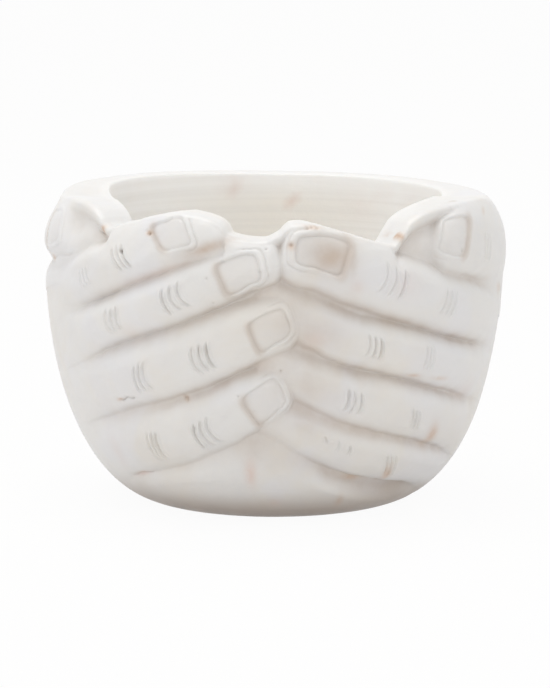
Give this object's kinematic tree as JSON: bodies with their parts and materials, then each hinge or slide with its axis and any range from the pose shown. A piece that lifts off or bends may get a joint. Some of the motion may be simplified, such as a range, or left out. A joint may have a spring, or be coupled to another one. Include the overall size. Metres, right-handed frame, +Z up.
{
  "type": "hand-shaped bowl",
  "caption": "Round bowl carved from one block of white marble: two hands in relief hold it from the sides and their fingers meet at the front.",
  "frame": {"origin": "centre of the flat foot, on the plane that the bowl rests on", "axes": "+Z up through the bowl's mouth; -Y towards the front, where the finger tips meet; +X towards the right thumb"},
  "size_m": [0.1514, 0.1503, 0.1022],
  "materials": {
    "marble": "honed white marble with a soft sheen"
  },
  "bodies": {
    "root": {"hand_bowl": "marble"}
  },
  "joints": []
}
